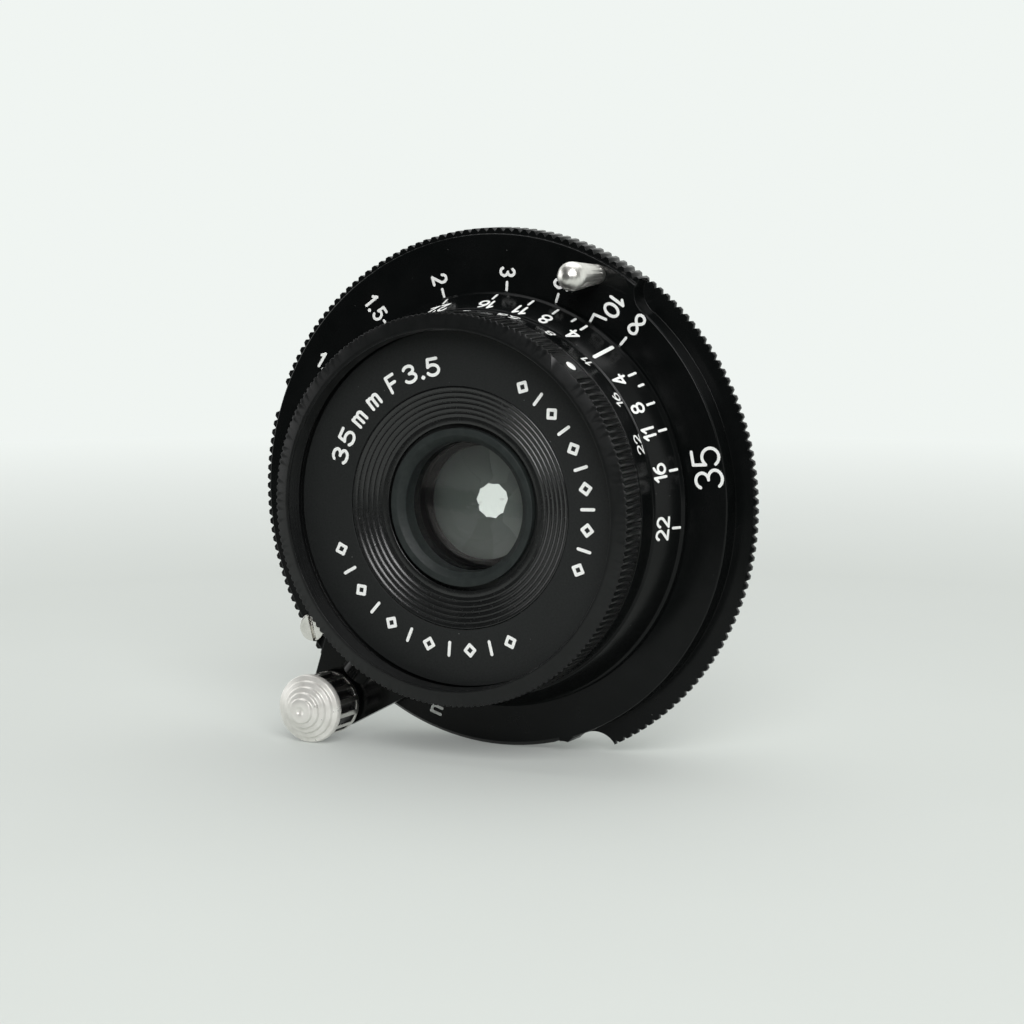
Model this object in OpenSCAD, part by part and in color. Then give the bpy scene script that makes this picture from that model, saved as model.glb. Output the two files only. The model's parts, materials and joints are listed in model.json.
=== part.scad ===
// Flat rangefinder-camera lens with a focusing lever, in millimetres.
// The lens is drawn about its optical axis, with z towards the subject, and then turned so that
// the front looks along -Y and +Z is up. The origin is the centre of the bayonet's seat face.

/* [Flange] */
// radius over the knurled rim
rim_r = 26; // [24:0.5:30]
// distance of the rim's back face from the seat face
rim_back = 0.6; // [0.4:0.1:1]
// distance of the flange's front face from the seat face
rim_front = 3.4; // [2.5:0.1:5]
// number of knurl teeth, on the rim and on the aperture ring
teeth = 180; // [60:4:240]
// radius of the step that the focusing lever's hook runs along
step_r = 23.9; // [22:0.1:25]
// height of the step's floor above the seat face
step_floor = 1.2; // [1:0.1:2]

/* [Bayonet] */
// radius of the register cylinder
register_r = 21.95; // [19:0.05:24]
// radius over the lugs
lug_r = 23.3; // [22:0.1:25]
// depth of the bayonet behind the seat face
bayonet_depth = 4.2; // [3:0.1:6]

/* [Focusing ring] */
// radius of the depth-of-field ring beside the flange
dof_r = 20; // [18:0.1:22]
// radius of the band that carries the aperture numbers
band_r = 18.35; // [16:0.05:20]
// front edge of the band
band_front = 10.1; // [8:0.1:12]

/* [Lever] */
// clock angle of the lever at infinity, counter-clockwise from the right
lever_angle = 230.5; // [200:0.5:250]
// distance of the knob from the optical axis
knob_at = 26.85; // [25:0.05:30]
// radius of the fluted barrel of the knob
knob_r = 3.05; // [2:0.05:4]
// radius of the knob's stepped cap
cap_r = 3.35; // [2:0.05:5]

/* [Front] */
// radius over the knurl of the aperture ring
front_r = 18.5; // [16:0.1:22]
// radius of the filter thread
filter_r = 16.95; // [14:0.05:20]
// front edge of the lens
front_z = 14; // [12:0.1:18]
// plane of the name ring
name_z = 11.35; // [10:0.05:13]
// outer radius of the front retaining ring
retaining_r = 7.5; // [6:0.1:9]

/* [Iris] */
// number of iris blades
blades = 10; // [10:1:10]
// radius of the fully open iris
open_r = 5.1; // [4:0.1:6]
// radius of the blade pivots
pivot_r = 7.9; // [7:0.1:9]
// turn of the aperture ring for one stop, in degrees
stop_turn = 14.4; // [10:0.1:20]

/* [Hidden] */

$fn = 120;
slip = 0.05;            // radial clearance of a running fit
tooth_depth = 0.35;
pitch = 360 / teeth;
face_r = rim_r - 0.55;  // flat part of the flange's front face

sleeve_r = 19.6;        // fixed sleeve, pressed into the flange
sleeve_bore = 18.55;
carrier_r = sleeve_bore - slip;
carrier_bore = 17.55;
head_r = carrier_bore - slip;
head_bore = 16;
dof_back = rim_front + 0.1;

arm_back = 3.9;
arm_front = 5.2;
arm_root = 17.95;       // radius of the arm's root, an arc about the axis
arm_spread = 24.4;      // half of the root's angle
arm_tip = 28.3;
arm_tip_half = 2.7;
arm_screw_at = 18.65;   // distance of the arm's two screws from the axis
arm_screw_spread = 12;  // and their angle from the arm's middle
arm_screw_r = 0.4;
arm_screw_head_r = 0.65;
arm_screw_head_h = 0.4;
arm_screw_front = 5.7;
rib_r = 1.6;            // rounded rib between the ring and the knob
rib_length = 3.3;
guide_r = 2.2;
guide_front = 7.4;
stem_r = 0.9;
press = 0.5;            // travel of the lock button
barrel_back = arm_front + press + slip;
barrel_front = 9.6;
barrel_floor = 8.1;     // bottom of the barrel's bore
flutes = 14;
flute_r = 0.5;
cap_top = 12;
cap_steps = 5;
hook_back = 2.1;
hook_r = 24.5;          // inner end of the stem's catch, in the flange's step

step_start = 289.7;     // clock angles of the channel, whose end is rounded
step_end = 50.5;
cut_start = 227.5;      // and of the cut-away, which ends in two round bites
cut_end = 286.3;
bite_angles = [285.5, 291];
bite_at = 26.45;
bite_r = 2.5;

post_at = 24.2;         // index post, its dome and its foot
post_angle = 64.3;
post_r = 1.38;
post_foot_r = 0.95;
post_pin_r = 0.8;
post_dome_z = 8.7;
post_pin_depth = 2;
stop_at = 24.9;         // stop screw in the flange's face
stop_angle = 214;
stop_head_r = 1.38;
stop_shank_r = 0.7;
stop_depth = 2.25;
bead_angle = 160;       // mounting bead in the plain land of the rim
bead_r = 0.7;
bead_z = 2;
bead_at = 24.6;
bead_top = rim_r - tooth_depth - 0.05;

ring_screws = [45:90:315];
ring_screw_at = 22.95;
ring_screw_r = 0.55;
ring_screw_head_r = 0.9;
ring_screw_head_h = 0.4;
ring_screw_depth = 1.9;
lug_thick = 1.2;
lug_half = 19;          // half of a lug's angle
bayonet_bore = 20.7;

skirt_back = 10.2;      // aperture ring's rear face
skirt_front = 10.8;
thread_back = 11.95;    // filter thread, with a relief groove below it
relief_r = filter_r + 0.5;
dot_angle = 49.2;       // white dot in the smooth part of the aperture ring
dot_r = 0.55;
dot_z = 11.8;
dot_at = 17.9;
dot_top = 18.28;
neck_r = 16.2;
neck_bore = 15;
name_back = 10.85;
cone_r = 11.48;         // outer radius of the stepped cone
cone_floor = 10.6;
cell_top = 10;
cell_r = 9.4;
glass_r = 6.95;
glass_back = 7.4;       // seat of the front element
middle_r = 6;
iris_floor = 3;
iris_top = 5.3;
housing_r = 12;
housing_bore = 11;
drive_thick = 0.5;
web_back = 1.6;
rear_cell_r = 8.95;
rear_bore = 7;
cam_bore = 15.25;
sleeve_front = 10.15;

widest = 3.5;           // f-numbers at the ends of the aperture scale
smallest = 22.6;
rest_number = 11.3;
swing = stop_turn * 2 * log(smallest / widest) / log(2);
rest_turn = stop_turn * 2 * log(rest_number / widest) / log(2);
blade_thick = 0.05;
blade_step = 0.07;
blade_hole_r = 0.3;
key_angle = 120;
key_r = 15.2;           // inner side of the key's post
key_thick = 0.55;
window = [key_angle - 38, key_angle + 58];

function polar(r, a) = [r * cos(a), r * sin(a)];

// a toothed outline; the teeth between the angles in plain are left out
function knurl(r, depth, plain) = [
    for (i = [0:teeth - 1], p = [[0, -0.5], [1, -0.2], [1, 0.2]])
        let (a = (i + p[1]) * pitch, smooth = a > plain[0] && a < plain[1])
        polar(r - depth + (smooth ? 0 : p[0] * depth), a)
];

// radius of the iris when the blades have turned by t degrees from fully open
function hole_r(t) = open_r * pow(widest / smallest, t / swing);

// point of a blade's working edge that bounds the hole after a turn of t, with the pivot at the origin
function edge_point(t) =
    let (
        rate = ln(smallest / widest) / swing * 180 / PI,
        slope = rate * hole_r(t) / pivot_r,
        side = sqrt(1 - slope * slope),
        ahead = [sin(t), cos(t)],
        inward = [cos(t), -sin(t)]
    )
    pivot_r * [-cos(t), sin(t)] + hole_r(t) * (slope * ahead + side * inward);

module lens_axis() rotate([90, 0, 0]) children();

module at(r, a) translate([r * cos(a), r * sin(a), 0]) rotate([0, 0, a]) children();

module turned(points) rotate_extrude() polygon(points);

module ring(r_out, r_in, z0, z1)
    turned([[r_in, z0], [r_out, z0], [r_out, z1], [r_in, z1]]);

module rod(r, z0, z1) translate([0, 0, z0]) cylinder(r = r, h = z1 - z0);

module arc_block(r0, r1, a0, a1, z0, z1)
    rotate([0, 0, a0])
        rotate_extrude(angle = a1 - a0)
            translate([r0, z0]) square([r1 - r0, z1 - z0]);

// a slotted cheese-head screw with its head's top at z, pointing down
module flat_screw(head_r, shank_r, head_h, z, length)
    difference() {
        union() {
            rod(head_r, z - head_h, z);
            rod(shank_r, z - length, z - head_h);
        }
        translate([-head_r - 1, -0.18, z - head_h * 0.5]) cube([2 * head_r + 2, 0.36, head_h]);
    }

// ---- fixed parts -------------------------------------------------------------------------------

module step_cut() {
    // the channel round the right side, with a rounded end
    rotate([0, 0, step_start])
        rotate_extrude(angle = step_end + 360 - step_start)
            polygon([[step_r - 0.15, rim_front + 0.1], [step_r, rim_front - 0.15], [step_r, step_floor],
                [rim_r + 1, step_floor], [rim_r + 1, rim_front + 0.1]]);
    at(rim_r + 0.15, step_end) rod(2.3, step_floor, rim_front + 1);
}

module bottom_cut() {
    // the cut-away under the lever's rest, right through the rim, ending in two bites
    rotate([0, 0, cut_start])
        rotate_extrude(angle = cut_end - cut_start)
            polygon([[step_r - 0.4, rim_front + 0.1], [step_r + 0.1, rim_front - 0.5], [step_r + 0.1, 0],
                [rim_r + 1, 0], [rim_r + 1, rim_front + 0.1]]);
    for (a = bite_angles) at(bite_at, a) rod(bite_r, 0, rim_front + 1);
}

// the mounting bead, or with a longer reach the pocket that it sits in
module bead(reach)
    rotate([0, 0, bead_angle]) translate([bead_at, 0, bead_z])
        rotate([0, 90, 0]) cylinder(r = bead_r, h = reach - bead_at);

module mount_flange() lens_axis() color("#141616")
    difference() {
        union() {
            translate([0, 0, rim_back])
                linear_extrude(rim_front - rim_back - 0.45) polygon(knurl(rim_r, tooth_depth, [157, 163]));
            turned([[sleeve_r, rim_back], [face_r, rim_back], [face_r, rim_front - 0.1],
                [face_r - 0.1, rim_front], [sleeve_r, rim_front]]);
        }
        rod(sleeve_r, 0, 5);
        step_cut();
        bottom_cut();
        at(stop_at, stop_angle) {
            rod(stop_head_r + 0.07, rim_front - 0.6, rim_front + 1);
            rod(stop_shank_r, rim_front - 2.1, rim_front);
        }
        at(post_at, post_angle) rod(post_pin_r, rim_front - post_pin_depth, rim_front + 1);
        for (a = ring_screws) at(ring_screw_at, a) rod(ring_screw_r, 0, ring_screw_depth);
        bead(rim_r);
    }

module bayonet_ring() lens_axis() color("#c9cbc8")
    difference() {
        union() {
            ring(24, bayonet_bore, 0, rim_back);
            ring(register_r, bayonet_bore, -bayonet_depth, 0);
            for (a = [0:90:270])
                arc_block(register_r - 0.1, lug_r, a - lug_half, a + lug_half, -bayonet_depth,
                    lug_thick - bayonet_depth);
        }
        for (a = ring_screws) at(ring_screw_at, a) {
            rod(ring_screw_head_r, -0.1, ring_screw_head_h);
            rod(ring_screw_r, -0.1, rim_back + 1);
        }
        at(23, 22.5) rod(0.7, -0.1, rim_back + 1);
    }

module bayonet_screws() lens_axis() color("#b9bbb8")
    for (a = ring_screws) at(ring_screw_at, a)
        difference() {
            union() {
                rod(ring_screw_head_r, 0, ring_screw_head_h);
                rod(ring_screw_r, ring_screw_head_h, ring_screw_depth);
            }
            translate([-ring_screw_head_r - 1, -0.12, -0.1]) cube([2 * ring_screw_head_r + 2, 0.24, 0.28]);
        }

module helicoid_sleeve() lens_axis() color("#b8974f")
    ring(sleeve_r, sleeve_bore, -2.4, rim_front - 0.1);

module index_post() lens_axis() color("#c8c9c4")
    at(post_at, post_angle)
        turned([[0, rim_front - post_pin_depth], [post_pin_r, rim_front - post_pin_depth],
            [post_pin_r, rim_front], [post_foot_r, rim_front], [post_foot_r, rim_front + 0.5],
            for (a = [0:15:90]) [post_r * cos(a), post_dome_z + post_r * sin(a)]]);

module stop_screw() lens_axis() color("#c8c9c4")
    at(stop_at, stop_angle) rotate([0, 0, 70])
        flat_screw(stop_head_r, stop_shank_r, 0.75, rim_front + 0.15, stop_depth);

module mount_index() lens_axis() color("#a31717") bead(bead_top);

// ---- focusing ring and lever -------------------------------------------------------------------

// the tapered arm, grown all round by extra
module arm_outline(extra = 0) {
    spread = arm_spread + atan(extra / arm_root);
    half = arm_tip_half + extra;
    tip = arm_tip + extra;
    polygon([[tip - 0.5, -half], [tip, 0.5 - half], [tip, half - 0.5], [tip - 0.5, half],
        for (k = [4:-1:-4]) polar(arm_root - extra, spread * k / 4)]);
}

module dof_ring() lens_axis() color("#111313")
    difference() {
        turned([[carrier_bore + slip, dof_back], [dof_r, dof_back], [dof_r, dof_back + 0.5],
            [dof_r - 0.27, dof_back + 0.8], [band_r + 0.2, 7.55], [band_r, 7.6], [band_r, band_front],
            [carrier_bore + slip, band_front]]);
        rotate([0, 0, lever_angle])
            translate([0, 0, arm_back - slip]) linear_extrude(arm_front - arm_back + 2 * slip)
                arm_outline(slip);
        for (side = [-1, 1]) at(arm_screw_at, lever_angle + side * arm_screw_spread) {
            rod(arm_screw_head_r + slip, dof_back - 1, arm_back);
            rod(arm_screw_r, arm_back, arm_screw_front);
        }
    }

module focus_carrier() lens_axis() color("#b8974f")
    ring(carrier_r, carrier_bore, -2.5, dof_back);

module carrier_ring() lens_axis() color("#3a3c3c")
    ring(19.3, carrier_bore + slip, -3.1, -2.5);

module lever_arm() lens_axis() color("#101111")
    rotate([0, 0, lever_angle])
        difference() {
            union() {
                translate([0, 0, arm_back]) linear_extrude(arm_front - arm_back) arm_outline();
                intersection() {
                    translate([dof_r + 0.1, 0, arm_front - 0.6])
                        rotate([0, 90, 0]) cylinder(r = rib_r, h = rib_length);
                    translate([dof_r, -rib_r, arm_back]) cube([rib_length + 1, 2 * rib_r, rib_r + 1]);
                }
            }
            translate([knob_at, 0, 0]) rod(guide_r, arm_front, barrel_front);
            translate([knob_at, 0, 0]) rod(stem_r + slip, 0, barrel_front);
            for (side = [-1, 1]) rotate([0, 0, side * arm_screw_spread]) translate([arm_screw_at, 0, 0]) {
                rod(arm_screw_r, 0, arm_screw_front);
                rod(arm_screw_head_r, 0, arm_back + arm_screw_head_h);
            }
        }

module lever_screws() lens_axis() color("#b9bbb8")
    for (side = [-1, 1]) at(arm_screw_at, lever_angle + side * arm_screw_spread) {
        rod(arm_screw_head_r, arm_back, arm_back + arm_screw_head_h);
        rod(arm_screw_r, arm_back + arm_screw_head_h, arm_screw_front);
    }

module knob_guide() lens_axis() color("#2a2c2c")
    at(knob_at, lever_angle) ring(guide_r, stem_r + slip, arm_front, guide_front);

module knob_barrel() lens_axis() color("#c8c9c4")
    at(knob_at, lever_angle)
        difference() {
            rod(knob_r, barrel_back, barrel_front);
            rod(guide_r + slip, barrel_back - 1, barrel_floor);
            rod(stem_r, barrel_floor - 0.1, barrel_front + 1);
            for (k = [1:flutes]) rotate([0, 0, k * 360 / flutes])
                translate([knob_r + 0.18, 0, 0]) rod(flute_r, barrel_back + 0.5, barrel_front - 0.4);
        }

module knob_cap() lens_axis() color("#cfd0cb")
    at(knob_at, lever_angle)
        turned([[0, barrel_front], [cap_r - 0.15, barrel_front], [cap_r, barrel_front + 0.15],
            for (k = [0:cap_steps - 1], p = [[0, 0], [0.1, 0.3]])
                [cap_r - k * 0.52 - p[0], barrel_front + 0.45 + k * 0.4 + p[1]],
            [0.75, cap_top], [0.45, cap_top], [0, cap_top - 0.25]]);

module lock_stem() lens_axis() color("#b9bbb8")
    at(knob_at, lever_angle) {
        rod(stem_r, hook_back, barrel_front);
        translate([hook_r - knob_at, -0.8, hook_back]) cube([knob_at - hook_r, 1.6, 0.8]);
    }

// ---- optical head ------------------------------------------------------------------------------

module head_sleeve() lens_axis() color("#1a1c1c") {
    ring(head_r, head_bore, -2, sleeve_front);
    ring(head_bore + 0.2, rear_cell_r + 0.05, web_back, iris_floor);
}

module front_neck() lens_axis() color("#1a1c1c")
    difference() {
        turned([[neck_bore, 8], [head_bore, 8], [head_bore, sleeve_front], [neck_r, sleeve_front],
            [neck_r, name_back], [neck_bore, name_back]]);
        arc_block(neck_bore - 1, neck_r + 1, window[0], window[1], 7, name_back + 1);
    }

module name_ring() lens_axis() color("#161818")
    turned([[cone_r + 0.02, name_back], [14, name_back], [14, 9.6], [neck_bore - 0.02, 9.6],
        [neck_bore - 0.02, name_back], [filter_r - 0.1, name_back], [filter_r - 0.1, name_z],
        [cone_r + 0.02, name_z]]);

module stepped_cone() lens_axis() color("#161818")
    turned([[retaining_r + 0.4, cell_top], [cone_r, cell_top],
        for (k = [0:5], p = [[0, 0], [0.12, 0.1], [0.42, -0.02]])
            [cone_r - k * 0.5 - p[0], name_z - 0.1 - k * 0.13 + p[1]],
        [cone_r - 3.1, cone_floor], [retaining_r + 0.4, cone_floor]]);

module retaining_ring() lens_axis() color("#2b2e2e")
    turned([[6.2, 8.6], [glass_r - 0.03, 8.6], [glass_r - 0.03, cell_top], [retaining_r, cell_top],
        [retaining_r, 10.85], [6.85, 10.85], [6.2, 10.25]]);

module front_cell() lens_axis() color("#1a1c1c")
    difference() {
        // the cell's flange stands on the iris housing and leaves a window for the drive ring's tab
        turned([[middle_r, 5.9], [housing_bore, 5.9], [housing_bore, iris_top - slip],
            [housing_r, iris_top - slip], [housing_r, 6.5], [cell_r, 6.5], [cell_r, cell_top],
            [glass_r, cell_top], [glass_r, glass_back], [middle_r, glass_back]]);
        arc_block(housing_bore - 0.1, housing_r + 1, window[0], window[1], iris_top - 1, 5.9);
    }

function cap_arc(r, edge_z, sag) =
    let (radius = (r * r + sag * sag) / (2 * abs(sag)), top = asin(r / radius))
    [for (k = [0:8]) let (a = top * k / 8)
        [radius * sin(a), edge_z + sign(sag) * (radius * cos(a) - radius * cos(top))]];

module glass(r, back_z, back_sag, front_z, front_sag) {
    front = cap_arc(r, front_z, front_sag);
    turned(concat(cap_arc(r, back_z, back_sag), [for (k = [8:-1:0]) front[k]]));
}

module front_element() lens_axis() color("#9fb4c8") glass(glass_r - 0.02, glass_back, 0.35, 8.4, 0.95);

module middle_element() lens_axis() color("#9fb4c8") glass(middle_r - 0.02, 5.95, 0.3, 7.25, -0.45);

module drive_ring() lens_axis() color("#1a1c1c") {
    ring(10.9, 5.4, iris_top, iris_top + drive_thick);
    rotate([0, 0, key_angle]) translate([10.5, -1, iris_top]) cube([key_r - 10.5, 2, drive_thick]);
}

module iris_housing() lens_axis() color("#1a1c1c")
    difference() {
        ring(housing_r, open_r + 0.15, iris_floor, iris_top - slip);
        rod(housing_bore, iris_floor + 0.5, iris_top + 1);
    }

module rear_cell() lens_axis() color("#1a1c1c")
    turned([[5.4, 1.5], [rear_bore, 1.5], [rear_bore, -4.4], [rear_cell_r, -4.4],
        [rear_cell_r, iris_floor - slip], [5.4, iris_floor - slip]]);

module rear_cell_nut() lens_axis() color("#2b2e2e")
    ring(10.6, rear_cell_r, 0.7, web_back);

module rear_element() lens_axis() color("#9fb4c8") glass(rear_bore - 0.02, -2.8, -0.9, 1.2, 0.6);

module rear_retaining_ring() lens_axis() color("#2b2e2e")
    ring(rear_bore - 0.02, 6.1, -4.2, -3.05);

module rear_baffle() lens_axis() color("#161818")
    ring(cam_bore, rear_cell_r + 0.15, -2.6, -2.1);

module rangefinder_cam() lens_axis() color("#c9cbc8")
    ring(17.4, cam_bore, -7.5, -2);

// ---- aperture ring and blades ------------------------------------------------------------------

// the white dot, or with a longer reach the pocket that it sits in
module dot(reach)
    rotate([0, 0, dot_angle]) translate([dot_at, 0, dot_z])
        rotate([0, 90, 0]) cylinder(r = dot_r, h = reach - dot_at);

module aperture_ring() lens_axis() color("#131515") {
    difference() {
        translate([0, 0, skirt_back + 0.35])
            linear_extrude(front_z - 0.36 - skirt_back - 0.35) polygon(knurl(front_r, 0.25, [44, 54]));
        rod(relief_r, skirt_back, front_z);
        dot(front_r);
    }
    turned([[neck_r + slip, skirt_back], [front_r - 0.3, skirt_back], [front_r - 0.12, skirt_back + 0.15],
        [front_r - 0.12, skirt_back + 0.36], [relief_r + 0.05, skirt_back + 0.36],
        [relief_r + 0.05, front_z - 0.4], [front_r - 0.12, front_z - 0.4], [17.3, front_z],
        [filter_r, front_z], [filter_r, thread_back], [relief_r, thread_back], [relief_r, skirt_front],
        [neck_r + slip, skirt_front]]);
}

module aperture_index() lens_axis() color("#e6e8e4") dot(dot_top);

module aperture_key() lens_axis() color("#8f8a7a")
    rotate([0, 0, key_angle]) {
        translate([key_r, -0.9, iris_top]) cube([key_thick, 1.8, skirt_front - iris_top]);
        translate([key_r, -0.9, skirt_back]) cube([neck_r + slip - key_r, 1.8, skirt_front - skirt_back]);
    }

module blade_outline() {
    // the working edge, a rounded lobe at the pivot and an arc that just clears the open iris
    first = 3 / 8;
    start = edge_point(swing * first);
    lean = atan2(start[1], start[0] + pivot_r);
    polygon(concat(
        [for (k = [0:12]) edge_point(swing * (first + (1 - first) * k / 12))],
        [edge_point(swing) + polar(1.2, 98 - swing), [0.75, 2.2]],
        [for (a = [0:-30:-210]) polar(0.75, a)],
        [for (k = [0:4]) [-pivot_r, 0] + polar(open_r + 0.05, 9 + (lean - 11) * k / 4)]
    ));
}

module blade(i) lens_axis() color("#55585a")
    rotate([0, 0, (i - 1) * 360 / blades]) translate([pivot_r, 0, iris_floor + 0.6 + (i - 1) * blade_step])
        rotate([0, 0, rest_turn])
            difference() {
                linear_extrude(blade_thick) blade_outline();
                rod(blade_hole_r, -blade_thick, 2 * blade_thick);
            }

mount_flange();
bayonet_ring();
bayonet_screws();
helicoid_sleeve();
index_post();
stop_screw();
mount_index();
dof_ring();
focus_carrier();
carrier_ring();
lever_arm();
lever_screws();
knob_guide();
knob_barrel();
knob_cap();
lock_stem();
head_sleeve();
front_neck();
name_ring();
stepped_cone();
retaining_ring();
front_cell();
front_element();
middle_element();
drive_ring();
iris_housing();
rear_cell();
rear_cell_nut();
rear_element();
rear_retaining_ring();
rear_baffle();
rangefinder_cam();
aperture_ring();
aperture_index();
aperture_key();
blade(1);  // blade_1
blade(2);  // blade_2
blade(3);  // blade_3
blade(4);  // blade_4
blade(5);  // blade_5
blade(6);  // blade_6
blade(7);  // blade_7
blade(8);  // blade_8
blade(9);  // blade_9
blade(10);  // blade_10
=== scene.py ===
"""Looks of a flat black rangefinder-camera lens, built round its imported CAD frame.

The lens frame is in millimetres, with z along the optical axis towards the subject, x to the right
seen from the front, and angles counter-clockwise from x. place() gives a point of it in the row frame.
"""
import json
import math

import bmesh
import bpy
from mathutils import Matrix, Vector
from mathutils.geometry import delaunay_2d_cdt

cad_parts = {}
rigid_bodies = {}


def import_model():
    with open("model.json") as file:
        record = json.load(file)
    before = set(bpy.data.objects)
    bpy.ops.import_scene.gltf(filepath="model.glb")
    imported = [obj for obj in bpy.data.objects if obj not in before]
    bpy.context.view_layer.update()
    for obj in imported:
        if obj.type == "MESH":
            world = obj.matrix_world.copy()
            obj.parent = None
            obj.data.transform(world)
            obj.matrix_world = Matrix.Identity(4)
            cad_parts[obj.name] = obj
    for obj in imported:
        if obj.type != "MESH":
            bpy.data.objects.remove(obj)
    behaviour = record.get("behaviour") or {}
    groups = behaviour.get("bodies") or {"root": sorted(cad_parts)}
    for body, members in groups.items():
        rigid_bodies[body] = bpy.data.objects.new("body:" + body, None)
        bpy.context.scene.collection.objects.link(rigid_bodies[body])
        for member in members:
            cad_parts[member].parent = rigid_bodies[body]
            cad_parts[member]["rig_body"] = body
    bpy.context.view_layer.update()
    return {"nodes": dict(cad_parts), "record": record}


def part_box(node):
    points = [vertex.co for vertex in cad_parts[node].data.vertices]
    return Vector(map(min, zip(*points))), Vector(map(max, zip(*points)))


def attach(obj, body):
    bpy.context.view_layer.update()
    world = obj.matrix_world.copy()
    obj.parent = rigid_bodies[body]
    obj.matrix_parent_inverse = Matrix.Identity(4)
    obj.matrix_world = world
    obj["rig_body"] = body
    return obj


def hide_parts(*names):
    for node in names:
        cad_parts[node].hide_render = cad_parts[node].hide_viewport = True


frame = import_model()

MM = 0.001
SLOTS = {part["node"]: part["material_slot"] for part in frame["record"]["subparts"]}


def place(x, y, z):
    """A point of the lens frame, in the row frame."""
    return Vector((x, -z, y)) * MM


def polar(r, angle, z):
    """A point of the lens frame given by radius and angle, in the row frame."""
    return place(r * math.cos(math.radians(angle)), r * math.sin(math.radians(angle)), z)


def front(node):
    """Height of a CAD node's front along the optical axis, in millimetres."""
    return -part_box(node)[0].y / MM


def middle(node):
    """Centre of a CAD node's box, in the row frame."""
    low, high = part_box(node)
    return (low + high) / 2


RIM_FRONT = front("mount_flange")
NAME_Z = front("name_ring")
FLOOR_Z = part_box("knob_cap")[0].z
KNOB = middle("knob_cap")


# ---- materials ---------------------------------------------------------------------------------


class Finish:
    """One procedural material: a Principled shader and the nodes that feed it."""

    def __init__(self, name, color, roughness, metallic=0.0, **values):
        self.material = bpy.data.materials.new(name)
        self.material.use_nodes = True
        self.tree = self.material.node_tree
        self.shader = self.tree.nodes["Principled BSDF"]
        self.shader.inputs["Base Color"].default_value = (*color, 1)
        self.shader.inputs["Roughness"].default_value = roughness
        self.shader.inputs["Metallic"].default_value = metallic
        for socket, value in values.items():
            self.shader.inputs[socket.replace("_", " ")].default_value = value
        self.coordinates = self.add("ShaderNodeTexCoord").outputs["Object"]

    def add(self, kind, **values):
        made = self.tree.nodes.new(kind)
        for key, value in values.items():
            if key in made.inputs:
                made.inputs[key].default_value = value
            else:
                setattr(made, key, value)
        return made

    def link(self, source, target):
        self.tree.links.new(source, target)

    def noise(self, size, detail=3.0):
        """Noise with grains of about size millimetres."""
        made = self.add("ShaderNodeTexNoise", Scale=1 / (size * MM), Detail=detail)
        self.link(self.coordinates, made.inputs["Vector"])
        return made.outputs["Fac"]

    def spread(self, value, low, high, to_low, to_high):
        """The value mapped in a straight line from the span low..high to the span to_low..to_high."""
        made = self.add("ShaderNodeMapRange")
        for key, number in zip(("From Min", "From Max", "To Min", "To Max"), (low, high, to_low, to_high)):
            made.inputs[key].default_value = number
        self.link(value, made.inputs["Value"])
        return made.outputs["Result"]

    def about(self, centre):
        """The place counted from a centre, and its distance from the axis along Y through that centre."""
        moved = self.add("ShaderNodeVectorMath", operation="SUBTRACT")
        self.link(self.coordinates, moved.inputs[0])
        moved.inputs[1].default_value = centre
        flat = self.add("ShaderNodeVectorMath", operation="MULTIPLY")
        self.link(moved.outputs[0], flat.inputs[0])
        flat.inputs[1].default_value = (1, 0, 1)
        radius = self.add("ShaderNodeVectorMath", operation="LENGTH")
        self.link(flat.outputs[0], radius.inputs[0])
        return moved.outputs[0], radius.outputs["Value"]

    def turned(self, centre=(0, 0, 0), size=0.1):
        """Noise that runs in rings about an axis along Y, as a lathe tool leaves it."""
        moved, radius = self.about(centre)
        split = self.add("ShaderNodeSeparateXYZ")
        self.link(moved, split.inputs[0])
        along = self.add("ShaderNodeMath", operation="ADD")
        self.link(radius, along.inputs[0])
        self.link(split.outputs["Y"], along.inputs[1])
        made = self.add("ShaderNodeTexNoise", noise_dimensions="1D", Scale=1 / (size * MM), Detail=2.0)
        self.link(along.outputs[0], made.inputs["W"])
        return made.outputs["Fac"]

    def rough(self, value, low, high):
        """Roughness that goes from low to high with a noise value."""
        self.link(self.spread(value, 0.3, 0.7, low, high), self.shader.inputs["Roughness"])

    def shade(self, value, dark, light, low=0.3, high=0.7):
        """Colour that goes from dark to light with the value."""
        made = self.add("ShaderNodeMix", data_type="RGBA")
        self.link(self.spread(value, low, high, 0, 1), made.inputs["Factor"])
        made.inputs[6].default_value = (*dark, 1)
        made.inputs[7].default_value = (*light, 1)
        self.link(made.outputs[2], self.shader.inputs["Base Color"])
        return made

    def dust(self, mixed, color, size):
        """Pale specks, about size millimetres apart, over a colour that shade() made."""
        edge, core = 0.03, 0.012
        cells = self.add("ShaderNodeTexVoronoi", Scale=1 / (size * MM), Randomness=1.0)
        self.link(self.coordinates, cells.inputs["Vector"])
        made = self.add("ShaderNodeMix", data_type="RGBA")
        self.link(self.spread(cells.outputs["Distance"], edge, core, 0, 1), made.inputs["Factor"])
        self.link(mixed.outputs[2], made.inputs[6])
        made.inputs[7].default_value = (*color, 1)
        self.link(made.outputs[2], self.shader.inputs["Base Color"])

    def bump(self, value, height):
        """Relief of the given height in millimetres; a second call lies on the first."""
        made = self.add("ShaderNodeBump", Strength=1.0, Distance=height * MM)
        self.link(value, made.inputs["Height"])
        for old in self.shader.inputs["Normal"].links:
            self.link(old.from_socket, made.inputs["Normal"])
        self.link(made.outputs["Normal"], self.shader.inputs["Normal"])


def gloss_black():
    made = Finish("black_lacquer", (0.003, 0.0035, 0.0035), 0.18, Specular_IOR_Level=0.15)
    mixed = made.shade(made.noise(2.5), (0.0025, 0.003, 0.003), (0.004, 0.0045, 0.0045))
    made.dust(mixed, (0.14, 0.15, 0.14), 1.6)
    made.rough(made.noise(0.9, 3), 0.17, 0.19)
    made.bump(made.noise(0.6, 2), 0.0003)
    return made


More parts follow.
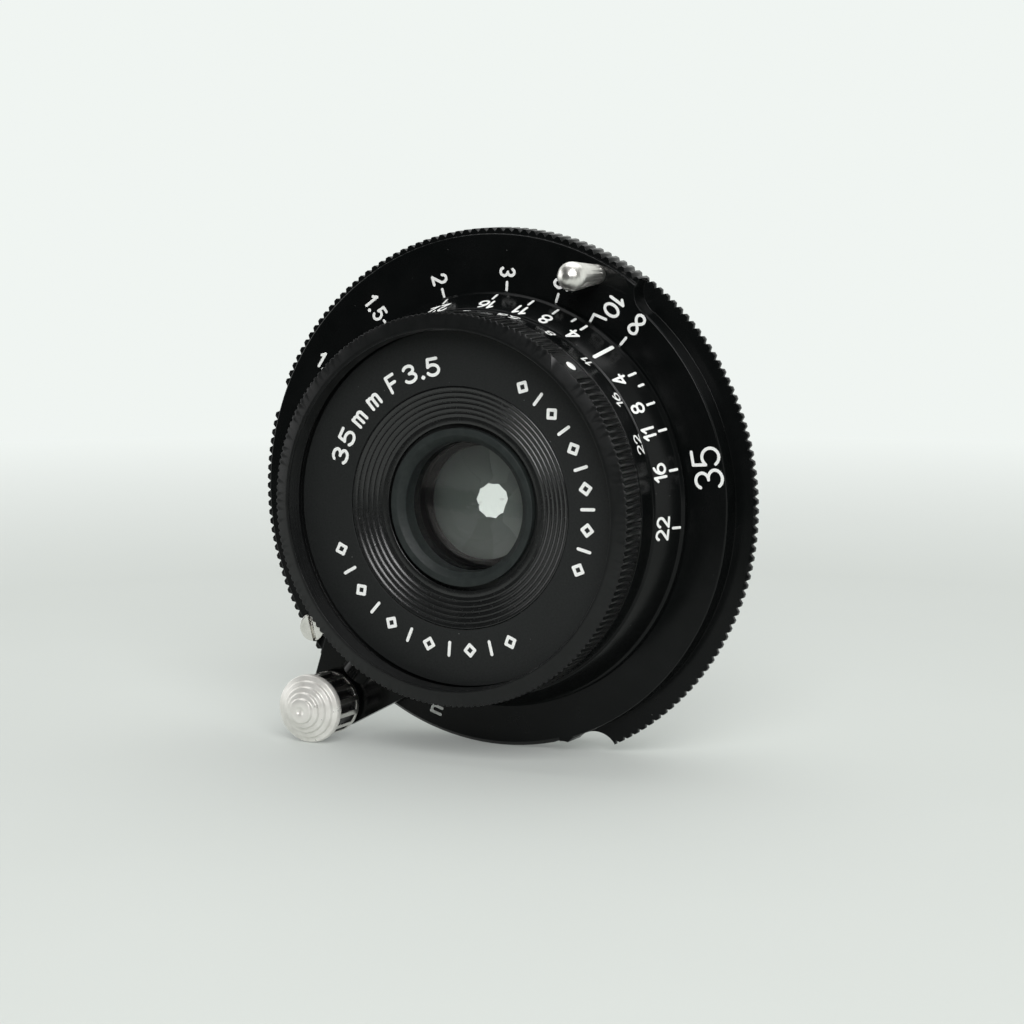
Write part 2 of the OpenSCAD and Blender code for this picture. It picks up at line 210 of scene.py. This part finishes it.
def satin_black(name="black_anodised", specular=0.3, smooth=0.29):
    made = Finish(name, (0.005, 0.0055, 0.0055), smooth, Specular_IOR_Level=specular)
    mixed = made.shade(made.noise(1.2), (0.004, 0.0045, 0.0045), (0.006, 0.0065, 0.0065))
    made.dust(mixed, (0.25, 0.26, 0.25), 1.6)
    made.rough(made.noise(0.3, 4), smooth, smooth + 0.06)
    made.bump(made.noise(0.2, 2), 0.0008)
    return made


def matte_black():
    made = Finish("black_flat_paint", (0.007, 0.008, 0.0078), 0.6, Specular_IOR_Level=0.34)
    mixed = made.shade(made.noise(0.16, 4), (0.005, 0.006, 0.0058), (0.01, 0.0112, 0.011))
    made.dust(mixed, (0.25, 0.26, 0.25), 1.8)
    made.rough(made.noise(0.2, 3), 0.5, 0.66)
    made.bump(made.noise(0.09, 3), 0.005)
    return made


def black_oxide():
    made = Finish("black_oxide", (0.015, 0.019, 0.018), 0.55, Specular_IOR_Level=0.25)
    made.shade(made.noise(0.8), (0.012, 0.0155, 0.015), (0.018, 0.0225, 0.0215))
    made.rough(made.noise(0.3), 0.5, 0.62)
    made.bump(made.turned(), 0.0008)
    return made


def nickel(name, centre, smooth=0.16, metallic=1.0, painted_inside=None):
    """Bright metal turned about the centre; inside the given radius it is painted black, as in flutes."""
    made = Finish(name, (0.8, 0.79, 0.75), 0.2, metallic)
    mixed = made.shade(made.noise(1.0, 4), (0.74, 0.725, 0.685), (0.86, 0.845, 0.805))
    made.rough(made.noise(1.2, 3), smooth, smooth + 0.08)
    made.bump(made.turned(centre, 0.15), 0.0006)
    if painted_inside:
        radius = made.about(centre)[1]
        edge = painted_inside * MM
        paint = made.spread(radius, edge, edge - 0.02 * MM, 0, 1)
        mix = made.add("ShaderNodeMix", data_type="RGBA")
        made.link(paint, mix.inputs["Factor"])
        made.link(mixed.outputs[2], mix.inputs[6])
        mix.inputs[7].default_value = (0.006, 0.006, 0.006, 1)
        made.link(mix.outputs[2], made.shader.inputs["Base Color"])
        made.link(made.spread(paint, 0, 1, metallic, 0), made.shader.inputs["Metallic"])
    return made


def chrome():
    made = Finish("bayonet_chrome", (0.72, 0.73, 0.72), 0.2, 1.0)
    made.shade(made.noise(2.2, 4), (0.68, 0.69, 0.68), (0.76, 0.77, 0.76))
    made.rough(made.noise(0.5, 4), 0.2, 0.25)
    made.bump(made.turned(), 0.001)
    return made


def steel():
    made = Finish("screw_steel", (0.6, 0.6, 0.58), 0.3, 1.0)
    made.shade(made.noise(0.6, 4), (0.52, 0.52, 0.5), (0.66, 0.66, 0.64))
    made.rough(made.noise(0.2, 4), 0.22, 0.4)
    return made


def blade_steel():
    made = Finish("blued_steel", (0.25, 0.28, 0.27), 0.45, 0.1, Specular_IOR_Level=0.2)
    each = made.add("ShaderNodeObjectInfo").outputs["Random"]
    made.shade(each, (0.19, 0.212, 0.205), (0.29, 0.32, 0.31), 0, 1)
    made.rough(made.noise(0.25, 4), 0.38, 0.52)
    made.bump(made.noise(0.12, 3), 0.002)
    return made


def brass():
    made = Finish("brass", (0.7, 0.54, 0.26), 0.3, 1.0)
    made.shade(made.noise(1.5, 4), (0.6, 0.44, 0.2), (0.74, 0.58, 0.3))
    made.rough(made.noise(0.3, 4), 0.24, 0.4)
    made.bump(made.turned(), 0.001)
    return made


def red_enamel():
    made = Finish("red_enamel", (0.5, 0.02, 0.02), 0.25, Coat_Weight=0.4)
    made.shade(made.noise(0.4), (0.42, 0.015, 0.015), (0.55, 0.025, 0.022))
    return made


def white_filling():
    made = Finish("white_filling", (0.86, 0.87, 0.85), 0.45)
    made.shade(made.noise(0.12, 3), (0.8, 0.81, 0.79), (0.9, 0.91, 0.89))
    made.rough(made.noise(0.1), 0.38, 0.55)
    return made


def coated_glass():
    """Clear glass with a faint pink reflection; its ground edges, turned away from the axis, are black."""
    made = Finish("coated_glass", (0.99, 1.0, 0.99), 0.01, IOR=1.35,
                  Specular_Tint=(1.0, 0.92, 0.94, 1), Specular_IOR_Level=0.14)
    mixed = made.shade(made.noise(6), (0.98, 0.99, 0.98), (0.99, 1.0, 0.99))
    facing = made.add("ShaderNodeSeparateXYZ")
    made.link(made.add("ShaderNodeNewGeometry").outputs["True Normal"], facing.inputs[0])
    size = made.add("ShaderNodeMath", operation="ABSOLUTE")
    made.link(facing.outputs["Y"], size.inputs[0])
    clear = made.spread(size.outputs[0], 0.4, 0.6, 0, 1)
    mix = made.add("ShaderNodeMix", data_type="RGBA")
    made.link(clear, mix.inputs["Factor"])
    mix.inputs[6].default_value = (0.01, 0.01, 0.01, 1)
    made.link(mixed.outputs[2], mix.inputs[7])
    made.link(mix.outputs[2], made.shader.inputs["Base Color"])
    made.link(clear, made.shader.inputs["Transmission Weight"])
    made.link(made.spread(clear, 0, 1, 0.6, 0.01), made.shader.inputs["Roughness"])
    return made


FINISHES = {
    "gloss_black": gloss_black(),
    "satin_black": satin_black(),
    "cone_black": satin_black("cone_black", 0.6, 0.22),
    "matte_black": matte_black(),
    "black_oxide": black_oxide(),
    "nickel": nickel("nickel", (0, 0, 0)),
    "post_nickel": nickel("post_nickel", middle("index_post"), 0.3),
    "knob_nickel": nickel("knob_nickel", KNOB, 0.27, 0.5),
    "fluted_nickel": nickel("fluted_nickel", KNOB, 0.25, 1.0, 2.99),
    "chrome": chrome(),
    "steel": steel(),
    "blade_steel": blade_steel(),
    "brass": brass(),
    "red_enamel": red_enamel(),
    "white_filling": white_filling(),
    "coated_glass": coated_glass(),
}


# ---- pieces ------------------------------------------------------------------------------------


def finish_mesh(piece, angle=30):
    """Smooth shading, except over edges that bend more than the angle."""
    mesh = piece.data
    mesh.shade_smooth()
    mesh.set_sharp_from_angle(angle=math.radians(angle))


def piece_from(name, bm, finish, body):
    """A piece with a finish's material, that rides on a body."""
    mesh = bpy.data.meshes.new(name)
    bm.to_mesh(mesh)
    bm.free()
    piece = bpy.data.objects.new(name, mesh)
    bpy.context.scene.collection.objects.link(piece)
    mesh.materials.append(FINISHES[finish].material)
    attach(piece, body)
    return piece


MANY_SIDED = 8
TRIANGLES_INSIDE = 1        # what delaunay_2d_cdt is asked for


def refill(mesh):
    """Fills each many-sided flat face afresh with triangles, so that none crosses a notch or the bore."""
    bm = bmesh.new()
    bm.from_mesh(mesh)
    for face in [face for face in bm.faces if len(face.verts) > MANY_SIDED]:
        across = face.calc_tangent_edge()
        up = face.normal.cross(across)
        outline = list(face.verts)
        flat = [Vector((vert.co.dot(across), vert.co.dot(up))) / MM for vert in outline]
        points, _, fills, sources, _, _ = delaunay_2d_cdt(flat, [], [list(range(len(flat)))],
                                                          TRIANGLES_INSIDE, 1e-6)
        level = outline[0].co.dot(face.normal)
        verts = [outline[old[0]] if old else
                 bm.verts.new((across * point.x + up * point.y) * MM + face.normal * level)
                 for point, old in zip(points, sources)]
        bm.faces.remove(face)
        for fill in fills:
            corners = [verts[i] for i in fill]
            if bm.faces.get(corners) is None:
                bm.faces.new(corners).smooth = True
    bm.to_mesh(mesh)
    bm.free()


def shaped(piece):
    """The piece's mesh with its modifiers applied, which are then taken off."""
    bpy.context.view_layer.update()
    mesh = bpy.data.meshes.new_from_object(piece.evaluated_get(bpy.context.evaluated_depsgraph_get()))
    piece.modifiers.clear()
    return mesh


WELD = 2e-7                 # metres
FLAT_ANGLE = 0.5            # degrees; faces that bend less are joined before the edges are rounded
# edges that bend more than this many degrees are rounded
EDGE_ANGLE, KNURL_EDGE_ANGLE = 12, 28
KNURLED = ("mount_flange", "aperture_ring", "knob_barrel")
EDGE_WIDTH = 0.05
# edge roundings in millimetres, where they aren't EDGE_WIDTH
EDGE_WIDTHS = {
    "dof_ring": 0.09,
    "aperture_ring": 0.03,
    "lever_arm": 0.08,
    "knob_cap": 0.03,
    "knob_barrel": 0.03,
    "index_post": 0.02,
}
# finishes that aren't the slot's own
OWN_FINISHES = {
    "stepped_cone": "cone_black",
    "index_post": "post_nickel",
    "knob_cap": "knob_nickel",
    "knob_barrel": "fluted_nickel",
}


def dress(node, width, finish):
    """A copy of a CAD node with its edges rounded by width millimetres, which stands for the node."""
    source = frame["nodes"][node]
    bm = bmesh.new()
    bm.from_mesh(source.data)
    bmesh.ops.remove_doubles(bm, verts=bm.verts, dist=WELD)
    bmesh.ops.dissolve_limit(bm, angle_limit=math.radians(FLAT_ANGLE), verts=bm.verts, edges=bm.edges)
    piece = piece_from(node + "_shown", bm, finish, source["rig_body"])
    piece.data.shade_smooth()
    edges = piece.modifiers.new("edges", "BEVEL")
    edges.width = width * MM
    edges.segments = 2
    edges.limit_method = "ANGLE"
    edges.angle_limit = math.radians(KNURL_EDGE_ANGLE if node in KNURLED else EDGE_ANGLE)
    edges.use_clamp_overlap = False
    piece.data = shaped(piece)
    refill(piece.data)
    piece.modifiers.new("even_normals", "WEIGHTED_NORMAL").mode = "FACE_AREA"
    piece.data = shaped(piece)
    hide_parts(node)


for node_name, slot_name in SLOTS.items():
    if slot_name == "coated_glass" or node_name.startswith("blade"):
        node_mesh = frame["nodes"][node_name].data
        node_mesh.materials.clear()
        node_mesh.materials.append(FINISHES[slot_name].material)
    else:
        dress(node_name, EDGE_WIDTHS.get(node_name, EDGE_WIDTH), OWN_FINISHES.get(node_name, slot_name))


def lathe(name, profile, finish, body):
    """A closed profile of (radius, z) turned about the optical axis."""
    steps = 180
    bm = bmesh.new()
    rings = [[bm.verts.new(polar(r, k * 360 / steps, z)) for r, z in profile] for k in range(steps)]
    for k in range(steps):
        here, ahead = rings[k], rings[(k + 1) % steps]
        for i in range(len(profile)):
            j = (i + 1) % len(profile)
            bm.faces.new((here[i], here[j], ahead[j], ahead[i]))
    bmesh.ops.recalc_face_normals(bm, faces=bm.faces)
    finish_mesh(piece_from(name, bm, finish, body))


# the filter thread: crests at the thread radius, roots further out, four turns
THREAD_R, THREAD_BACK, THREAD_PITCH, THREAD_DEPTH, THREAD_TURNS = 16.95, 12.05, 0.45, 0.13, 4
thread_front = THREAD_BACK + THREAD_TURNS * THREAD_PITCH
wall = THREAD_R + 0.05
teeth = [(THREAD_R - THREAD_DEPTH * side, THREAD_BACK + (turn + side / 2) * THREAD_PITCH)
         for turn in range(THREAD_TURNS) for side in (0, 1)]
lathe("filter_thread", [(wall, thread_front), (wall, THREAD_BACK), *teeth, (THREAD_R, thread_front)],
      "satin_black", "aperture_group")


# ---- lettering ---------------------------------------------------------------------------------


def arc(x, y, rx, ry, start, end, steps=16):
    """Points of an ellipse's arc, in a sign's own units."""
    angles = [math.radians(start + (end - start) * k / steps) for k in range(steps + 1)]
    return [(x + rx * math.cos(a), y + ry * math.sin(a)) for a in angles]


def infinity_loop():
    turns = [math.radians(k * 10) for k in range(37)]
    return [(0.72 + 0.72 * math.cos(t) / (1 + math.sin(t) ** 2),
             0.5 + 0.92 * math.sin(t) * math.cos(t) / (1 + math.sin(t) ** 2)) for t in turns]


# width and strokes of each sign, for a height of 1
SIGNS = {
    "0": (0.68, [arc(0.34, 0.5, 0.34, 0.5, 0, 360, 28)]),
    "1": (0.24, [[(0, 0.76), (0.24, 1)], [(0.24, 1), (0.24, 0)]]),
    "2": (0.6, [arc(0.3, 0.71, 0.29, 0.29, 170, -38) + [(0, 0)], [(0, 0), (0.6, 0)]]),
    "3": (0.6, [arc(0.3, 0.76, 0.26, 0.24, 155, -90), arc(0.3, 0.26, 0.3, 0.26, 90, -155)]),
    "4": (0.66, [[(0.48, 0), (0.48, 1)], [(0.48, 1), (0, 0.28)], [(0, 0.28), (0.66, 0.28)]]),
    "5": (0.6, [[(0.55, 1), (0.1, 1)], [(0.1, 1), (0.05, 0.54)],
                [(0.05, 0.54)] + arc(0.29, 0.32, 0.31, 0.32, 125, -150)]),
    "6": (0.6, [arc(0.3, 0.31, 0.3, 0.31, 0, 360, 24), arc(0.62, 0.36, 0.62, 0.64, 110, 180)]),
    "7": (0.6, [[(0, 1), (0.6, 1)], [(0.6, 1), (0.2, 0)]]),
    "8": (0.6, [arc(0.3, 0.76, 0.24, 0.24, 0, 360, 24), arc(0.3, 0.27, 0.3, 0.27, 0, 360, 24)]),
    ".": (0, [[(-0.03, 0), (0.03, 0)], [(0, -0.03), (0, 0.03)]]),
    "m": (0.56, [[(0, 0), (0, 0.7)], arc(0.14, 0.5, 0.14, 0.18, 180, 0) + [(0.28, 0)],
                 arc(0.42, 0.5, 0.14, 0.18, 180, 0) + [(0.56, 0)]]),
    "F": (0.42, [[(0, 0), (0, 1)], [(0, 1), (0.42, 1)], [(0, 0.52), (0.36, 0.52)]]),
    "infinity": (1.44, [infinity_loop()]),
    "lozenge": (0.5, [[(0, 0.5), (0.25, 0.85)], [(0.25, 0.85), (0.5, 0.5)], [(0.5, 0.5), (0.25, 0.15)],
                      [(0.25, 0.15), (0, 0.5)]]),
    "bar": (0, [[(0, 0.1), (0, 0.9)]]),
}


def on_plane(r, angle, z, turn):
    """Signs on a flat ring; their baseline is turned from the radius by the angle turn."""
    origin = (r * math.cos(math.radians(angle)), r * math.sin(math.radians(angle)))
    c, s = math.cos(math.radians(angle + turn)), math.sin(math.radians(angle + turn))
    return lambda u, v, lift: place(origin[0] + u * c - v * s, origin[1] + u * s + v * c, z + lift)


def on_turned(angle, z, radius_at):
    """Signs on a turned wall, with their tops towards the front."""
    def lay(u, v, lift):
        r = radius_at(z + v)
        return polar(r + lift, angle + math.degrees(u / r), z + v)
    return lay


# cross-section of a stroke: place in half widths, and height over the surface in millimetres
SECTION = ((1, -0.02), (0.96, 0.008), (0, 0.014), (-0.96, 0.008), (-1, -0.02))
STROKE_STEP = 0.3           # millimetres between two cross-sections
ROUND_END = (30, 55, 80)    # degrees round the end of a stroke


def stroke(bm, points, half, lay):
    """A paint-filled groove with round ends, standing just proud of the surface."""
    fine = [points[0]]
    for a, b in zip(points, points[1:]):
        count = max(1, math.ceil(math.dist(a, b) / STROKE_STEP))
        fine += [(a[0] + (b[0] - a[0]) * k / count, a[1] + (b[1] - a[1]) * k / count)
                 for k in range(1, count + 1)]
    stations = []
    for k, (x, y) in enumerate(fine):
        (x0, y0), (x1, y1) = fine[max(k - 1, 0)], fine[min(k + 1, len(fine) - 1)]
        size = math.hypot(x1 - x0, y1 - y0)
        stations.append((x, y, (x1 - x0) / size, (y1 - y0) / size, half))
    for end, sign in ((0, -1), (-1, 1)):
        x, y, tx, ty, _ = stations[end]
        for lean in ROUND_END:
            away = sign * half * math.sin(math.radians(lean))
            width = half * math.cos(math.radians(lean))
            extra = (x + tx * away, y + ty * away, tx, ty, width)
            stations.insert(0 if end == 0 else len(stations), extra)
    rows = [[bm.verts.new(lay(x - ty * side * width, y + tx * side * width, lift))
             for side, lift in SECTION]
            for x, y, tx, ty, width in stations]
    for here, ahead in zip(rows, rows[1:]):
        for i in range(len(SECTION)):
            j = (i + 1) % len(SECTION)
            bm.faces.new((here[i], here[j], ahead[j], ahead[i]))
    bm.faces.new(rows[0])
    bm.faces.new(rows[-1])


def write(bm, signs, height, half, lay, wide=1.0, gap=0.36):
    """Signs in a row, centred on the place that lay gives for (0, 0); half is half a stroke's width."""
    sizes = [SIGNS[sign][0] * height * wide for sign in signs]
    x = -(sum(sizes) + gap * (len(signs) - 1)) / 2
    for sign, size in zip(signs, sizes):
        for points in SIGNS[sign][1]:
            stroke(bm, [(x + px * height * wide, (py - 0.5) * height) for px, py in points], half, lay)
        x += size + gap


def lettering(name, bm, body):
    """One piece out of all the strokes that were laid in a mesh."""
    bmesh.ops.recalc_face_normals(bm, faces=bm.faces)
    finish_mesh(piece_from(name, bm, "white_filling", body), 50)


# distances in metres and their clock angles on the flange; the numbers read inwards
DISTANCES = {
    "5": 71.8, "3": 87, "2": 106.4, "1.5": 126.2, "1.2": 146.5, "1": 167.4, "0.8": 199.6, "0.7": 223.5,
}
# turns of the baseline from the radius: inwards along it, or along the ring either way
INWARDS, TOPS_INWARDS, TOPS_OUTWARDS = 180, 90, -90
HALF_LINE = 0.135           # half the width of a scale line
HALF_FIGURE = 0.15


def on_flange(r, angle):
    return on_plane(r, angle, RIM_FRONT, INWARDS)


marks = bmesh.new()
for figure, angle in DISTANCES.items():
    write(marks, figure, 1.45, 0.145, on_flange(21.85 + 0.26 * (len(figure) - 1), angle), 0.84, 0.55)
    stroke(marks, [(0, 0), (0.72, 0)], HALF_LINE, on_flange(20.87, angle))
write(marks, ["infinity"], 1.38, HALF_FIGURE, on_flange(22.6, 49.6))
stroke(marks, [(0, 0), (0.8, 0)], HALF_LINE, on_flange(20.9, 49.6))
# the mark for 10 m is bent
write(marks, "10", 1.5, HALF_FIGURE, on_flange(22.5, 56.9), gap=0.5)
stroke(marks, [(0, 0), (0.72, 0)], HALF_LINE, on_flange(20.75, 60.4))
stroke(marks, [(0, 0), (-0.22, 1.3)], HALF_LINE, on_flange(20.75, 60.4))
write(marks, "m", 1.53, HALF_FIGURE, on_flange(21.75, 251.9), wide=1.5)
write(marks, "35", 2.69, 0.155, on_plane(22.28, 10.5, RIM_FRONT, TOPS_INWARDS), gap=0.47)
lettering("distance_scale", marks, "mount")

FOCUS_MARK = 50.0           # clock angle of the focusing mark
DEPTH_TURN = 2.4            # turn of a depth mark for f/1, in degrees
# the cone of the depth-of-field ring, from its back edge to its front one
CONE_BACK, CONE_LENGTH, CONE_R, CONE_DROP = 4.3, 3.25, 19.73, 1.18


def on_cone(angle, z=CONE_BACK):
    return on_turned(angle, z, lambda at: CONE_R - (at - CONE_BACK) * CONE_DROP / CONE_LENGTH)


marks = bmesh.new()
stroke(marks, [(0, 0.15), (0, 2.75)], 0.2, on_cone(FOCUS_MARK))
for figure, number in (("4", 4), ("", 5.6), ("8", 8), ("11", 11.3), ("16", 16), ("22", 22.6)):
    for side in (-1, 1):
        angle = FOCUS_MARK + side * DEPTH_TURN * number
        stroke(marks, [(0, 0.1), (0, 1.0 if figure else 0.7)], 0.13, on_cone(angle))
        if figure:
            write(marks, figure, 1.4, 0.13, on_cone(angle, 6.56))
lettering("depth_scale", marks, "focus_barrel")

# f-numbers on the band, which the dot on the aperture ring points at
BAND_R, BAND_Z, DOT_ANGLE, STOP_TURN = 18.35, 8.25, 49.6, 14.4
marks = bmesh.new()
for figure, stops in (("3.5", 3.38), ("4", 3), ("5.6", 2), ("8", 1), ("11", 0), ("16", -1), ("22", -2)):
    band = on_turned(DOT_ANGLE + STOP_TURN * stops, BAND_Z, lambda z: BAND_R)
    write(marks, figure, 1.2, 0.1, band, gap=0.3)
lettering("aperture_scale", marks, "focus_barrel")

# focal length and f-number on the name ring, then plain ornament where a real lens is signed
NAME_R, ORNAMENTS = 13.45, 11
engraved = [("3", 161), ("5", 152.6), ("m", 142.9), ("m", 132.7), ("F", 121.4), ("3", 112.6), (".", 106.8),
            ("5", 101.6)]
for first, last in ((60, -22), (-66, -160)):
    engraved += [("bar" if k % 2 else "lozenge", first + (last - first) * k / (ORNAMENTS - 1))
                 for k in range(ORNAMENTS)]
marks = bmesh.new()
for sign, angle in engraved:
    write(marks, [sign], 1.52, 0.16, on_plane(NAME_R, angle, NAME_Z, TOPS_OUTWARDS), wide=1.35)
lettering("name_text", marks, "optical_head")


# ---- studio ------------------------------------------------------------------------------------


BACKDROP = (0.872, 0.912, 0.885)


def surroundings():
    """The pale backdrop; what lights the lens is bright low behind it and dark above and in front."""
    bpy.context.scene.view_settings.view_transform = "Standard"
    world = bpy.data.worlds.new("studio")
    bpy.context.scene.world = world
    world.use_nodes = True
    nodes, links = world.node_tree.nodes, world.node_tree.links
    sky = nodes["Background"]

    def add(kind, **values):
        made = nodes.new(kind)
        for key, value in values.items():
            setattr(made, key, value)
        return made

    def spread(value, low, high, to_low, to_high):
        made = add("ShaderNodeMapRange", interpolation_type="SMOOTHSTEP")
        for key, number in zip(("From Min", "From Max", "To Min", "To Max"), (low, high, to_low, to_high)):
            made.inputs[key].default_value = number
        links.new(value, made.inputs["Value"])
        return made.outputs["Result"]

    def combine(operation, a, b):
        made = add("ShaderNodeMath", operation=operation)
        links.new(a, made.inputs[0])
        links.new(b, made.inputs[1])
        return made.outputs[0]

    way = add("ShaderNodeSeparateXYZ")
    links.new(add("ShaderNodeTexCoord").outputs["Generated"], way.inputs[0])
    behind = spread(way.outputs["Y"], -0.25, 0.35, 0.05, 0.95)
    low = spread(way.outputs["Z"], 0.3, 0.8, 1.0, 0.4)
    level = combine("MULTIPLY", behind, low)
    camera_ray = add("ShaderNodeLightPath").outputs["Is Camera Ray"]
    mix = add("ShaderNodeMix", data_type="RGBA")
    links.new(camera_ray, mix.inputs["Factor"])
    tint = add("ShaderNodeMix", data_type="RGBA")
    links.new(level, tint.inputs["Factor"])
    tint.clamp_factor = False
    tint.inputs[6].default_value = (0, 0, 0, 1)
    tint.inputs[7].default_value = (0.97, 1.0, 0.97, 1)
    links.new(tint.outputs[2], mix.inputs[6])
    mix.inputs[7].default_value = (*BACKDROP, 1)
    links.new(mix.outputs[2], sky.inputs["Color"])


def table():
    """The table runs back into the backdrop and ends a little in front of the lens, all in metres."""
    near, wide, deep = -0.13, 4, 6
    fade_start, fade_end = 0.12, 0.31
    floor = Finish("table", (0.51, 0.535, 0.51), 0.8)
    shade = floor.shade(floor.noise(40, 2), (0.505, 0.53, 0.505), (0.515, 0.54, 0.515))
    distance = floor.add("ShaderNodeVectorMath", operation="LENGTH")
    floor.link(floor.coordinates, distance.inputs[0])
    # the table glows in the backdrop's colour: fully from fade_end back, where it becomes the backdrop,
    # and a fifth as bright near the lens, a painted glow that lightens the lens's shadow
    glow = floor.spread(distance.outputs["Value"], fade_start, fade_end, 0.2, 1)
    fade = floor.add("ShaderNodeMix", data_type="RGBA")
    floor.link(glow, fade.inputs["Factor"])
    floor.link(shade.outputs[2], fade.inputs[6])
    fade.inputs[7].default_value = (0, 0, 0, 1)
    floor.link(fade.outputs[2], floor.shader.inputs["Base Color"])
    floor.shader.inputs["Emission Color"].default_value = (*BACKDROP, 1)
    floor.link(glow, floor.shader.inputs["Emission Strength"])
    floor.link(floor.spread(glow, 0, 1, 0.3, 0), floor.shader.inputs["Specular IOR Level"])
    bm = bmesh.new()
    for x, y in ((-wide, near), (wide, near), (wide, deep), (-wide, deep)):
        bm.verts.new((x, y, 0))
    bm.faces.new(bm.verts)
    mesh = bpy.data.meshes.new("table")
    bm.to_mesh(mesh)
    bm.free()
    mesh.materials.append(floor.material)
    ground = bpy.data.objects.new("table", mesh)
    ground.location.z = FLOOR_Z
    bpy.context.scene.collection.objects.link(ground)


def soft_box(name, away, size, power):
    """A square lamp, placed in metres from the origin and turned to it, with its power in watts."""
    light = bpy.data.lights.new(name, "AREA")
    light.size = size
    light.energy = power
    lamp = bpy.data.objects.new(name, light)
    lamp.location = away
    lamp.rotation_euler = Vector(away).to_track_quat("Z", "Y").to_euler()
    bpy.context.scene.collection.objects.link(lamp)


def camera():
    """The camera fitted to the photograph; target and distance are in metres."""
    azimuth, elevation, distance = math.radians(26.86), math.radians(7.05), 0.2972
    target = Vector((-0.0001, 0, -0.0016))
    away = Vector((math.sin(azimuth) * math.cos(elevation), -math.cos(azimuth) * math.cos(elevation),
                   math.sin(elevation)))
    data = bpy.data.cameras.new("camera")
    data.lens = 107.6
    data.sensor_width = 36
    data.clip_start = 0.01
    eye = bpy.data.objects.new("camera", data)
    eye.location = target + distance * away
    eye.rotation_euler = away.to_track_quat("Z", "Y").to_euler()
    bpy.context.scene.collection.objects.link(eye)
    bpy.context.scene.camera = eye


surroundings()
table()
soft_box("overhead", (-0.05, 0.25, 0.7), 0.9, 3.6)
soft_box("front", (0.3, -0.5, 0.4), 0.45, 5.2)
soft_box("left", (-0.6, -0.12, 0.12), 0.4, 0.8)
camera()
